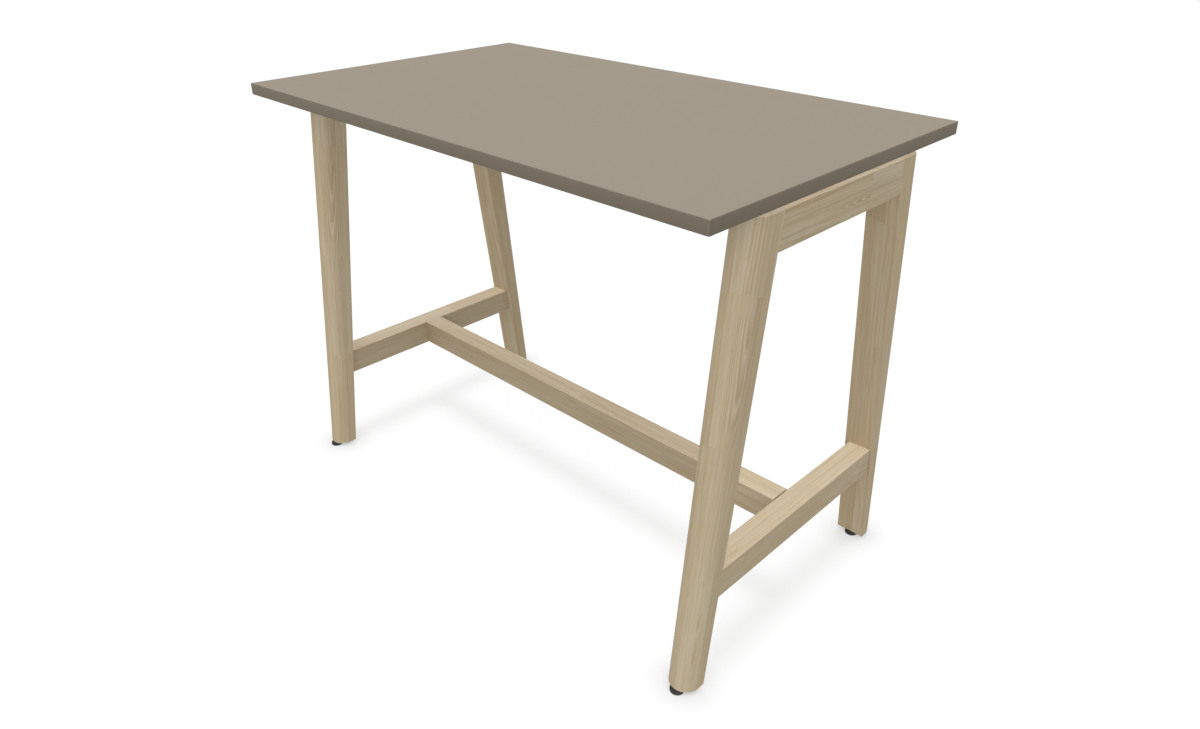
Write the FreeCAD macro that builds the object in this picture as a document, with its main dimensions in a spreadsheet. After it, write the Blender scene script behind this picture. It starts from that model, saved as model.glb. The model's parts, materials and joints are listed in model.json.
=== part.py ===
import FreeCAD, Part

import math
import os
from types import SimpleNamespace

import Sketcher

# High table: a laminated top on two splayed wooden end frames, joined low down by one long stretcher.
# The origin is on the floor under the middle of the top. +X runs along the top's length, +Y from the
# front to the back, +Z up. Left and right are -X and +X, front and back are -Y and +Y.

SIZES = {
    # Table top
    "top_length": 1400.0,
    "top_depth": 825.0,
    "table_height": 1050.0,
    "core_thickness": 25.0,
    "laminate_thickness": 1.0,
    "band_thickness": 2.0,
    "band_round": 1.5,
    "top_gap": 10.0,
    # Legs: D section, and the flat inner face's distance from the middle plane at both ends
    "leg_width": 70.0,
    "leg_depth_top": 76.5,
    "leg_depth_foot": 52.5,
    "spread_top": 203.0,
    "spread_foot": 326.5,
    "end_inset": 5.0,
    # Rails and stretcher
    "rail_thickness": 55.0,
    "top_rail_height": 74.0,
    "foot_rail_height": 68.0,
    "foot_rail_level": 291.5,
    "foot_rail_inset": 5.0,
    "stretcher_width": 54.0,
    "stretcher_height": 67.0,
    "stretcher_gap": 2.0,
    "arris_round": 1.5,
    # Glued dowels between legs and rails
    "dowel_diameter": 12.0,
    "dowel_length": 80.0,
    "dowel_spacing": 34.0,
    # Hidden bolted joint at both ends of the stretcher
    "hanger_diameter": 8.0,
    "hanger_in_rail": 38.0,
    "pocket_diameter": 30.0,
    "pocket_setback": 45.0,
    "crescent_height": 18.0,
    "crescent_chord": 9.0,
    "nut_flats": 13.0,
    "nut_thickness": 6.5,
    "pin_diameter": 10.0,
    "pin_length": 50.0,
    "pin_spacing": 40.0,
    # Screws that hold the top on its spacers
    "screw_spacing": 120.0,
    "screw_diameter": 8.0,
    "screw_head_diameter": 13.0,
    "screw_head_height": 8.0,
    "screw_engagement": 13.0,
    "counterbore_depth": 30.0,
    "washer_diameter": 18.0,
    "washer_thickness": 1.6,
    "spacer_diameter": 28.0,
    "top_insert_diameter": 12.0,
    "top_insert_length": 16.0,
    # Levelling feet
    "pad_diameter": 32.0,
    "pad_height": 6.0,
    "pad_floor": 2.0,
    "pad_round": 1.2,
    "collar_flats": 13.0,
    "collar_height": 3.0,
    "stem_diameter": 8.0,
    "stem_length": 24.0,
    "stem_chamfer": 0.8,
    "stem_flange_diameter": 13.0,
    "stem_flange_thickness": 2.0,
    "foot_insert_diameter": 10.5,
    "foot_insert_length": 20.0,
    "foot_insert_flange": 14.5,
    "foot_flange_thickness": 1.5,
    "foot_shift": 17.0,
    # Clearances
    "glue_gap": 0.1,
    "running_gap": 0.05,
    "axial_gap": 0.1,
    "swivel_gap": 0.2,
    "stop_gap": 0.3,
    "bolt_play": 0.5,
    "hole_spare": 1.0,
}

# How much of a dowel or pin goes into the first of its two pieces
DOWEL_IN_LEG_SHARE = 0.45
PIN_IN_RAIL_SHARE = 0.5
# The largest part of a wall that a rounded edge may take
ROUND_SHARE = 0.9

ENDS = {"front": -1, "back": 1}
SIDES = {"left": -1, "right": 1}
# A sketch plane's role, and which way its normal points along the third axis
PLANES = {"XY": ("XY_Plane", 1), "XZ": ("XZ_Plane", -1), "YZ": ("YZ_Plane", 1)}


class Length:
    """A length that knows its value in millimetres and the expression that the sheet works it out by."""

    def __init__(self, value, text):
        self.value = value
        self.text = text

    @staticmethod
    def of(other):
        return other if isinstance(other, Length) else Length(float(other), repr(other))

    def __add__(self, other):
        other = Length.of(other)
        return Length(self.value + other.value, f"({self.text} + {other.text})")

    def __sub__(self, other):
        other = Length.of(other)
        return Length(self.value - other.value, f"({self.text} - {other.text})")

    def __mul__(self, factor):
        factor = Length.of(factor)
        return Length(self.value * factor.value, f"({self.text} * {factor.text})")

    def __truediv__(self, divisor):
        divisor = Length.of(divisor)
        return Length(self.value / divisor.value, f"({self.text} / {divisor.text})")

    def __neg__(self):
        return self * -1

    __rmul__ = __mul__


def smaller(first, second):
    return Length(min(first.value, second.value), f"min({first.text}; {second.text})")


ZERO = Length(0.0, "0")
doc = FreeCAD.newDocument("HighTable")
sheet = doc.addObject("Spreadsheet::Sheet", "Sizes")
for row, (alias, number) in enumerate(SIZES.items(), start=1):
    sheet.set(f"A{row}", alias)
    sheet.set(f"B{row}", str(number))
    sheet.setAlias(f"B{row}", alias)
doc.recompute()
size = SimpleNamespace(**{alias: Length(number, f"Sizes.{alias}") for alias, number in SIZES.items()})

# Levels and places that several pieces share
top_thickness = size.core_thickness + 2 * size.laminate_thickness
top_underside = size.table_height - top_thickness
frame_top = top_underside - size.top_gap
leg_foot = size.pad_height + size.swivel_gap + size.collar_height + size.stop_gap
leg_rise = frame_top - leg_foot
splay_run = size.spread_foot - size.spread_top
leg_x = size.top_length / 2 - size.end_inset - size.leg_width / 2
top_rail_x = size.top_length / 2 - size.end_inset - size.rail_thickness / 2
foot_rail_x = top_rail_x - size.foot_rail_inset
foot_rail_inner = foot_rail_x - size.rail_thickness / 2
stretcher_axis = size.foot_rail_level - size.stretcher_height / 2
screw_seat = frame_top - size.top_rail_height + size.counterbore_depth
screw_places = [-1 * size.screw_spacing, ZERO, size.screw_spacing]
dowel_hole = size.dowel_diameter + 2 * size.glue_gap
screw_hole = size.screw_diameter + 2 * size.bolt_play
dowel_in_leg = size.dowel_length * DOWEL_IN_LEG_SHARE
dowel_in_rail = size.dowel_length - dowel_in_leg
pin_in_rail = size.pin_length * PIN_IN_RAIL_SHARE
pin_in_stretcher = size.pin_length - pin_in_rail


def inner_face(level):
    """Distance of the legs' flat inner faces from the middle plane at a height above the floor."""
    return size.spread_foot - splay_run * (level - leg_foot) / leg_rise


def foot_y(end):
    """A foot stands under the middle of its leg's section, shifted towards the front."""
    return end * (size.spread_foot + size.leg_depth_foot / 2) - size.foot_shift


def stretcher_end(side):
    """The stretcher butts on the left foot rail and leaves an open joint at the right one."""
    return foot_rail_inner - size.stretcher_gap if side > 0 else foot_rail_inner


def pocket_x(side):
    return side * (stretcher_end(side) - size.pocket_setback)


def frame_joints():
    """Both rails of an end frame: the place across the table and the middle height of their dowels."""
    return [
        (top_rail_x, frame_top - size.top_rail_height / 2),
        (foot_rail_x, size.foot_rail_level - size.foot_rail_height / 2),
    ]


def pair(middle, spacing):
    return [middle - spacing / 2, middle + spacing / 2]


# Sketches and features


def new_piece(label, x=ZERO, y=ZERO, z=ZERO):
    body = doc.addObject("PartDesign::Body", label)
    body.Label = label
    for axis, place in zip("xyz", (x, y, z)):
        body.setExpression(f"Placement.Base.{axis}", place.text)
    return body


def new_sketch(body, plane, level=ZERO):
    role, normal = PLANES[plane]
    sketch = body.newObject("Sketcher::SketchObject", "Sketch")
    origin_plane = next(item for item in body.Origin.OriginFeatures if item.Role == role)
    sketch.AttachmentSupport = [(origin_plane, "")]
    sketch.MapMode = "FlatFace"
    sketch.setExpression("AttachmentOffset.Base.z", (level * normal).text)
    return sketch


def bind(sketch, kind, geometry, point, length):
    """Holds a point's place from the sketch's origin, or a circle's diameter, to a length."""
    start = (geometry,) if kind == "Diameter" else (-1, 1, geometry, point)
    index = sketch.addConstraint(Sketcher.Constraint(kind, *start, length.value))
    sketch.setExpression(f"Constraints[{index}]", length.text)


def locate(sketch, geometry, point, place):
    bind(sketch, "DistanceX", geometry, point, place[0])
    bind(sketch, "DistanceY", geometry, point, place[1])


def vector(place):
    return FreeCAD.Vector(place[0].value, place[1].value, 0)


def outline(body, plane, corners, level=ZERO):
    """A sketch of one closed outline with straight sides, each corner held in place."""
    sketch = new_sketch(body, plane, level)
    lines = [sketch.addGeometry(Part.LineSegment(vector(a), vector(b)))
             for a, b in zip(corners, corners[1:] + corners[:1])]
    for line, after, corner in zip(lines, lines[1:] + lines[:1], corners):
        sketch.addConstraint(Sketcher.Constraint("Coincident", line, 2, after, 1))
        locate(sketch, line, 1, corner)
    return sketch


def circles(body, plane, rounds, level=ZERO):
    """A sketch of circles, each given by its centre's two places and its diameter."""
    sketch = new_sketch(body, plane, level)
    for across, along, diameter in rounds:
        centre = (across, along)
        circle = Part.Circle(vector(centre), FreeCAD.Vector(0, 0, 1), diameter.value / 2)
        index = sketch.addGeometry(circle)
        locate(sketch, index, 3, centre)
        bind(sketch, "Diameter", index, 0, diameter)
    return sketch


def rectangle(half_across, half_along):
    return [
        (-half_across, -half_along),
        (half_across, -half_along),
        (half_across, half_along),
        (-half_across, half_along),
    ]


def hexagon(flats):
    corner, half = flats / math.sqrt(3), flats / 2
    return [
        (corner, ZERO),
        (corner / 2, half),
        (-corner / 2, half),
        (-corner, ZERO),
        (-corner / 2, -half),
        (corner / 2, -half),
    ]


def normal_of(sketch):
    role = sketch.AttachmentSupport[0][0].Role
    return next(normal for name, normal in PLANES.values() if name == role)


def pad(body, sketch, length, towards=1):
    feature = body.newObject("PartDesign::Pad", "Pad")
    feature.Profile = sketch
    feature.setExpression("Length", length.text)
    if towards == 0:
        feature.SideType = "Symmetric"
    else:
        feature.Reversed = towards != normal_of(sketch)
    return feature


def cut(body, sketch, towards, depth=None):
    """Takes away what the sketch covers in one direction, to a depth or right through."""
    feature = body.newObject("PartDesign::Pocket", "Pocket")
    feature.Profile = sketch
    feature.Reversed = towards == normal_of(sketch)
    if depth is None:
        feature.Type = "ThroughAll"
    else:
        feature.setExpression("Length", depth.text)
    return feature


def loft(body, first, last):
    """A solid with straight sides between two outlines."""
    feature = body.newObject("PartDesign::AdditiveLoft", "Loft")
    feature.Profile = first
    feature.Sections = [last]
    feature.Ruled = True
    return feature


def revolve(body, sketch):
    feature = body.newObject("PartDesign::Revolution", "Revolution")
    feature.Profile = sketch
    feature.ReferenceAxis = (sketch, ["V_Axis"])
    feature.Angle = 360
    return feature


def round_edges(body, base, radius, chosen):
    """Rounds the edges of a feature that a test picks by their direction and middle."""
    doc.recompute()
    names = []
    for number, edge in enumerate(base.Shape.Edges, start=1):
        middle = (edge.FirstParameter + edge.LastParameter) / 2
        if chosen(edge.tangentAt(middle), edge.valueAt(middle)):
            names.append(f"Edge{number}")
    feature = body.newObject("PartDesign::Fillet", "Fillet")
    feature.Base = (base, names)
    feature.setExpression("Radius", radius.text)
    return feature


def is_along(direction, axis):
    return abs(getattr(direction, axis)) > 1 - Part.Precision.confusion()


# Table top


def board(label, level, thickness):
    """One layer of the top, inside the edge bands."""
    body = new_piece(label, z=level)
    half_length = size.top_length / 2 - size.band_thickness
    half_depth = size.top_depth / 2 - size.band_thickness
    pad(body, outline(body, "XY", rectangle(half_length, half_depth)), thickness)
    return body


def top_insert_holes(body, depth=None):
    diameter = size.top_insert_diameter + 2 * size.glue_gap
    rounds = [(side * top_rail_x, y, diameter) for side in SIDES.values() for y in screw_places]
    cut(body, circles(body, "XY", rounds), 1, depth)


def table_top():
    core = board("top_core", top_underside + size.laminate_thickness, size.core_thickness)
    top_insert_holes(core, size.top_insert_length - size.laminate_thickness + size.hole_spare)
    backing = board("backing_laminate", top_underside, size.laminate_thickness)
    top_insert_holes(backing)
    board("top_laminate", size.table_height - size.laminate_thickness, size.laminate_thickness)


def edge_bands():
    """The end bands cover the ends of the long bands; every outer edge is rounded."""
    radius = smaller(size.band_round, size.band_thickness * ROUND_SHARE)
    half_band = size.band_thickness / 2
    band_x = size.top_length / 2 - half_band
    band_y = size.top_depth / 2 - half_band
    for end_name, end in ENDS.items():
        body = new_piece(f"edge_band_{end_name}", y=end * band_y, z=top_underside)
        band = pad(body, outline(body, "XY", rectangle(band_x - half_band, half_band)), top_thickness)
        round_edges(body, band, radius, lambda along, at: is_along(along, "x") and at.y * end > 0)
    for side_name, side in SIDES.items():
        body = new_piece(f"edge_band_{side_name}", x=side * band_x, z=top_underside)
        band = pad(body, outline(body, "XY", rectangle(half_band, size.top_depth / 2)), top_thickness)
        # Every edge but the four of the glued face
        round_edges(body, band, radius, lambda along, at: at.x * side > 0 or is_along(along, "x"))


# Legs


def leg_section(body, end, level, face_y, depth):
    """D section of a leg in a level cut: a flat inner face, and a half circle on straight flanks outwards."""
    sketch = new_sketch(body, "XY", level)
    half_width = size.leg_width / 2
    straight = face_y + end * (depth - half_width)
    inner = [(-half_width, face_y), (half_width, face_y)]
    outer = [(-half_width, straight), (half_width, straight)]
    apex = (ZERO, face_y + end * depth)
    face = sketch.addGeometry(Part.LineSegment(vector(inner[0]), vector(inner[1])))
    flanks = [sketch.addGeometry(Part.LineSegment(vector(a), vector(b))) for a, b in zip(inner, outer)]
    bow = sketch.addGeometry(Part.Arc(vector(outer[0]), vector(apex), vector(outer[1])))
    # An arc always runs anticlockwise, so its start is on the left flank only on the front legs
    bow_ends = (1, 2) if end < 0 else (2, 1)
    for flank, place, face_end, bow_end in zip(flanks, outer, (1, 2), bow_ends):
        sketch.addConstraint(Sketcher.Constraint("Coincident", flank, 1, face, face_end))
        sketch.addConstraint(Sketcher.Constraint("Coincident", flank, 2, bow, bow_end))
        locate(sketch, flank, 2, place)
    for face_end, place in zip((1, 2), inner):
        locate(sketch, face, face_end, place)
    bind(sketch, "DistanceY", bow, 3, straight)
    return sketch


def leg(side_name, end_name):
    """A leg that leans in and grows deeper towards its top, with both ends cut level."""
    side, end = SIDES[side_name], ENDS[end_name]
    body = new_piece(f"leg_{end_name}_{side_name}", side * leg_x, end * size.spread_foot, leg_foot)
    at_foot = leg_section(body, end, ZERO, ZERO, size.leg_depth_foot)
    at_top = leg_section(body, end, leg_rise, -end * splay_run, size.leg_depth_top)
    loft(body, at_foot, at_top)
    for rail_x, level in frame_joints():
        bottom = inner_face(level) + dowel_in_leg + size.hole_spare - size.spread_foot
        rounds = [(side * (rail_x - leg_x), z - leg_foot, dowel_hole)
                  for z in pair(level, size.dowel_spacing)]
        cut(body, circles(body, "XZ", rounds, end * bottom), -end)
    place = foot_y(end) - end * size.spread_foot
    bore = size.foot_insert_diameter + 2 * size.glue_gap
    recess = size.foot_insert_flange + 2 * size.glue_gap
    cut(body, circles(body, "XY", [(ZERO, place, bore)]), 1, size.stem_length + size.hole_spare)
    cut(body, circles(body, "XY", [(ZERO, place, recess)]), 1, size.foot_flange_thickness)


# Rails and stretcher


def rail(label, x, level, height):
    """A rail between two legs: its ends are cut to the legs' slant and bored for dowels."""
    body = new_piece(label, x, z=level)
    at_top, at_bottom = inner_face(level), inner_face(level - height)
    corners = [(-at_top, ZERO), (at_top, ZERO), (at_bottom, -height), (-at_bottom, -height)]
    bar = pad(body, outline(body, "YZ", corners), size.rail_thickness, towards=0)
    return body, bar


def rail_dowel_holes(body, level, height):
    middle = level - height / 2
    bottom = inner_face(middle) - dowel_in_rail - size.hole_spare
    for end in ENDS.values():
        rounds = [(ZERO, z - level, dowel_hole) for z in pair(middle, size.dowel_spacing)]
        cut(body, circles(body, "XZ", rounds, end * bottom), end)


def arris():
    return smaller(size.arris_round, size.rail_thickness / 2 * ROUND_SHARE)


def top_rail(side_name):
    """Top rail, flush with the legs outside and on top, bored for the screws of the table top."""
    side = SIDES[side_name]
    height = size.top_rail_height
    body, bar = rail(f"top_rail_{side_name}", side * top_rail_x, frame_top, height)
    round_edges(body, bar, arris(), lambda along, at: is_along(along, "y") and at.z < -height.value / 2)
    rail_dowel_holes(body, frame_top, height)
    cut(body, circles(body, "XY", [(ZERO, y, screw_hole) for y in screw_places]), -1)
    recess = size.washer_diameter + 2 * size.bolt_play
    cut(body, circles(body, "XY", [(ZERO, y, recess) for y in screw_places], screw_seat - frame_top), -1)


def foot_rail(side_name):
    """Foot rail, set in from the legs' outer sides, bored for the stretcher's bolt and pins."""
    side = SIDES[side_name]
    height = size.foot_rail_height
    body, bar = rail(f"foot_rail_{side_name}", side * foot_rail_x, size.foot_rail_level, height)
    round_edges(body, bar, arris(), lambda along, at: is_along(along, "y"))
    rail_dowel_holes(body, size.foot_rail_level, height)
    axis = stretcher_axis - size.foot_rail_level
    inner = size.rail_thickness / 2
    bolt = [(ZERO, axis, size.hanger_diameter + 2 * size.glue_gap)]
    bolt_bottom = side * (size.hanger_in_rail + size.hole_spare - inner)
    cut(body, circles(body, "YZ", bolt, bolt_bottom), -side)
    pin_bottom = side * (pin_in_rail + size.hole_spare - inner)
    cut(body, circles(body, "YZ", pin_rounds(axis), pin_bottom), -side)


def pin_rounds(axis, diameter=size.pin_diameter + 2 * size.glue_gap):
    return [(ZERO, z, diameter) for z in pair(axis, size.pin_spacing)]


def stretcher():
    """The long foot bar, level with the foot rails on top, with a nut pocket below each end."""
    left_end, right_end = -stretcher_end(-1), stretcher_end(1)
    body = new_piece("stretcher", z=size.foot_rail_level)
    half_width = size.stretcher_width / 2
    corners = [(-half_width, -size.stretcher_height), (half_width, -size.stretcher_height),
               (half_width, ZERO), (-half_width, ZERO)]
    bar = pad(body, outline(body, "YZ", corners, level=left_end), right_end - left_end)
    round_edges(body, bar, smaller(size.arris_round, half_width * ROUND_SHARE),
                lambda along, at: is_along(along, "x"))
    axis = stretcher_axis - size.foot_rail_level
    for side in SIDES.values():
        bolt = [(ZERO, axis, size.hanger_diameter + 2 * size.bolt_play)]
        cut(body, circles(body, "YZ", bolt, pocket_x(side)), side)
        pin_bottom = side * (stretcher_end(side) - pin_in_stretcher - size.hole_spare)
        cut(body, circles(body, "YZ", pin_rounds(axis), pin_bottom), side)
    pockets = [(pocket_x(side), ZERO, size.pocket_diameter) for side in SIDES.values()]
    ceiling = axis + size.crescent_height / 2 + size.hole_spare
    cut(body, circles(body, "XY", pockets, ceiling), -1)


# Glued and bolted joints


def frame_dowels(side_name):
    side = SIDES[side_name]
    body = new_piece(f"frame_dowels_{side_name}")
    for rail_x, level in frame_joints():
        inner_end = inner_face(level) - dowel_in_rail
        for end in ENDS.values():
            rounds = [(side * rail_x, z, size.dowel_diameter) for z in pair(level, size.dowel_spacing)]
            pad(body, circles(body, "XZ", rounds, end * inner_end), size.dowel_length, end)


def stretcher_joints():
    """At each end: a bolt fixed in the rail, a half-moon washer and a nut in the pocket, and two pins."""
    bolts = new_piece("stretcher_bolts", z=stretcher_axis)
    pins = new_piece("stretcher_dowels", z=stretcher_axis)
    nuts = new_piece("stretcher_nuts", z=stretcher_axis)
    crescents = new_piece("stretcher_crescents", z=stretcher_axis)
    radius = size.pocket_diameter / 2 - size.glue_gap
    discs = [(pocket_x(side), ZERO, radius * 2) for side in SIDES.values()]
    pad(crescents, circles(crescents, "XY", discs), size.crescent_height, towards=0)
    for side in SIDES.values():
        bolt_end = foot_rail_inner + size.hanger_in_rail
        bolt = circles(bolts, "YZ", [(ZERO, ZERO, size.hanger_diameter)], pocket_x(side))
        pad(bolts, bolt, bolt_end - side * pocket_x(side), side)
        pin_end = side * (foot_rail_inner + pin_in_rail)
        rounds = pin_rounds(ZERO, size.pin_diameter)
        pad(pins, circles(pins, "YZ", rounds, pin_end), size.pin_length, -side)
        chord = pocket_x(side) + side * size.crescent_chord
        far = pocket_x(side) - side * size.pocket_diameter / 2
        half = size.pocket_diameter / 2
        waste = [(chord, -half), (far, -half), (far, half), (chord, half)]
        cut(crescents, outline(crescents, "XY", waste, level=-size.crescent_height / 2), 1)
        play = [(ZERO, ZERO, size.hanger_diameter + 2 * size.bolt_play)]
        cut(crescents, circles(crescents, "YZ", play, pocket_x(side)), side)
        pad(nuts, outline(nuts, "YZ", hexagon(size.nut_flats), level=chord), size.nut_thickness, -side)
        thread = [(ZERO, ZERO, size.hanger_diameter + 2 * size.running_gap)]
        cut(nuts, circles(nuts, "YZ", thread, pocket_x(side)), side)


def top_fixings(side_name):
    """Screws from below through a rail and its spacer rings into threaded inserts in the core."""
    side = SIDES[side_name]

    def group(label, level):
        return new_piece(f"{label}_{side_name}", side * top_rail_x, z=level)

    def stack(body, length, *diameters, level=ZERO):
        rounds = [(ZERO, y, diameter) for y in screw_places for diameter in diameters]
        pad(body, circles(body, "XY", rounds, level), length)

    stack(group("top_spacers", frame_top), size.top_gap, size.spacer_diameter, screw_hole)
    head_seat = screw_seat - size.washer_thickness
    stack(group("top_washers", head_seat), size.washer_thickness, size.washer_diameter, screw_hole)
    screws = group("top_screws", head_seat)
    stack(screws, top_underside + size.screw_engagement - head_seat, size.screw_diameter)
    stack(screws, size.screw_head_height, size.screw_head_diameter, level=-size.screw_head_height)
    thread = size.screw_diameter + 2 * size.running_gap
    stack(group("top_inserts", top_underside), size.top_insert_length, size.top_insert_diameter, thread)


# Levelling feet


def foot_inserts():
    """Flanged threaded sleeves, flush in the legs' feet."""
    body = new_piece("foot_inserts", z=leg_foot)
    places = [(side * leg_x, foot_y(end)) for side in SIDES.values() for end in ENDS.values()]
    for diameter, length in ((size.foot_insert_diameter, size.foot_insert_length),
                             (size.foot_insert_flange, size.foot_flange_thickness)):
        pad(body, circles(body, "XY", [(x, y, diameter) for x, y in places]), length)
    thread = size.stem_diameter + 2 * size.running_gap
    cut(body, circles(body, "XY", [(x, y, thread) for x, y in places]), 1)


def foot(side_name, end_name):
    """A pad that stays on the floor, and a stem that turns in it: flange, hexagon collar and thread."""
    x, y = SIDES[side_name] * leg_x, foot_y(ENDS[end_name])
    shank = size.stem_diameter / 2
    flange = size.stem_flange_diameter / 2
    flange_bottom = size.pad_floor + size.axial_gap
    flange_top = flange_bottom + size.stem_flange_thickness
    lip_bottom = flange_top + size.axial_gap
    collar_bottom = size.pad_height + size.swivel_gap
    stem_top = collar_bottom + size.collar_height + size.stem_length

    pad_body = new_piece(f"foot_pad_{end_name}_{side_name}", x, y)
    rim = size.pad_diameter / 2
    mouth = shank + size.running_gap
    cavity = flange + size.running_gap
    profile = [(ZERO, ZERO), (rim, ZERO), (rim, size.pad_height), (mouth, size.pad_height),
               (mouth, lip_bottom), (cavity, lip_bottom), (cavity, size.pad_floor), (ZERO, size.pad_floor)]
    disc = revolve(pad_body, outline(pad_body, "XZ", profile))
    on_rim = rim.value * ROUND_SHARE
    radius = smaller(size.pad_round, size.pad_height / 2 * ROUND_SHARE)
    round_edges(pad_body, disc, radius,
                lambda along, at: math.hypot(at.x, at.y) > on_rim and not is_along(along, "z"))

    stem = new_piece(f"foot_stem_{end_name}_{side_name}", x, y)
    profile = [(ZERO, flange_bottom), (flange, flange_bottom), (flange, flange_top), (shank, flange_top),
               (shank, stem_top - size.stem_chamfer), (shank - size.stem_chamfer, stem_top), (ZERO, stem_top)]
    revolve(stem, outline(stem, "XZ", profile))
    pad(stem, outline(stem, "XY", hexagon(size.collar_flats), level=collar_bottom), size.collar_height)


def build():
    table_top()
    edge_bands()
    for side_name in SIDES:
        for end_name in ENDS:
            leg(side_name, end_name)
            foot(side_name, end_name)
        top_rail(side_name)
        foot_rail(side_name)
        frame_dowels(side_name)
        top_fixings(side_name)
    stretcher()
    stretcher_joints()
    foot_inserts()
    doc.recompute()


def check():
    """Every feature is sound, every cut takes something away, and every piece is valid."""
    for item in doc.Objects:
        if {"Invalid", "Error"} & set(item.State):
            raise RuntimeError(f"{item.Name} failed: {item.State}")
        if item.TypeId == "PartDesign::Pocket" and not item.Shape.Volume < item.BaseFeature.Shape.Volume:
            raise RuntimeError(f"{item.Name} cuts nothing")
    for piece in pieces():
        if piece.Shape.isNull() or not piece.Shape.isValid():
            raise RuntimeError(f"{piece.Label} has no valid shape")


def pieces():
    return [item for item in doc.Objects if item.TypeId == "PartDesign::Body"]


def write():
    os.makedirs("parts", exist_ok=True)
    for piece in pieces():
        piece.Shape.exportStep(f"parts/{piece.Label}.step")
        box = piece.Shape.BoundBox
        print(f"{piece.Label}: {len(piece.Shape.Solids)} solids, {piece.Shape.Volume / 1000:.1f} cm3, "
              f"x {box.XMin:.1f} to {box.XMax:.1f}, y {box.YMin:.1f} to {box.YMax:.1f}, "
              f"z {box.ZMin:.1f} to {box.ZMax:.1f}")


build()
check()
write()
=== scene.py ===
"""High table: finishes, turned hardware, floor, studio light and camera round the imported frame."""
import json
import math
from types import SimpleNamespace as Values

import bmesh
import bpy
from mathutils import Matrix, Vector

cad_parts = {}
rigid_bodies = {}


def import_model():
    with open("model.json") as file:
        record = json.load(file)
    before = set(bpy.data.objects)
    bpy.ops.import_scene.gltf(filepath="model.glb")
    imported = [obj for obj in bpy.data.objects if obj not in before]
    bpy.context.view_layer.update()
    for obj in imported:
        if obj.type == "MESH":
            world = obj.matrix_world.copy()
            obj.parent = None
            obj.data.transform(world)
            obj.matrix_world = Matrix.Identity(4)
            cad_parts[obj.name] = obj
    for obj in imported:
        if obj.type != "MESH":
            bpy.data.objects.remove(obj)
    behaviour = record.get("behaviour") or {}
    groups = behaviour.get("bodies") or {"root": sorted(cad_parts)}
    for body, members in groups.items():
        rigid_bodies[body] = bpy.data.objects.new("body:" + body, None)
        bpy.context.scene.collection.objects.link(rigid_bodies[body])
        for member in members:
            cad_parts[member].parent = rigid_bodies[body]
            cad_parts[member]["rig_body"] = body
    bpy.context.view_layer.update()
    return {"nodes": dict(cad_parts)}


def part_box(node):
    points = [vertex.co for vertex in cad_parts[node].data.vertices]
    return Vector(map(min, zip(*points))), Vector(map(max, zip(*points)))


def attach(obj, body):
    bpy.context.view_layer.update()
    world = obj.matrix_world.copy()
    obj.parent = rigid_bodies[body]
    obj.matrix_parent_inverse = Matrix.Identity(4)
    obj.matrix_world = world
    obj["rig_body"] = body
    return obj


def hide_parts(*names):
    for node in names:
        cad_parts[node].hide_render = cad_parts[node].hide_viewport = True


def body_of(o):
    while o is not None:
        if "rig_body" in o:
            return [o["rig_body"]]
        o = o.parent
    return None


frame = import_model()
nodes = frame["nodes"]

CORNERS = ("front_left", "front_right", "back_left", "back_right")
SIDES = ("left", "right")
X_AXIS = Vector((1.0, 0.0, 0.0))
Y_AXIS = Vector((0.0, 1.0, 0.0))
Z_AXIS = Vector((0.0, 0.0, 1.0))
UPRIGHT = (X_AXIS, Y_AXIS, Z_AXIS)
WHITE = (1.0, 1.0, 1.0)

# Linear colours.
PALETTE = {
    "ash_light": (0.642, 0.554, 0.428),
    "ash_dark": (0.500, 0.388, 0.246),
    "ash_pink": (0.618, 0.503, 0.352),
    "ash_pore": (0.34, 0.265, 0.170),
    "laminate": (0.293, 0.245, 0.191),
    "band": (0.248, 0.210, 0.170),
    "backing": (0.33, 0.30, 0.26),
    "chip": (0.42, 0.31, 0.19),
    "beech": (0.50, 0.33, 0.19),
    "plastic": (0.020, 0.020, 0.021),
    "plastic_worn": (0.075, 0.075, 0.077),
    "steel_black": (0.025, 0.025, 0.027),
    "zinc": (0.60, 0.61, 0.62),
}

# Two whole numbers in a node tree are the same within this.
SAME = 0.5
EDGE_SAMPLES = 4
# The sockets that a Mix node uses for colours.
MIX_FIRST, MIX_SECOND, MIX_RESULT = 6, 7, 2


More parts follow.
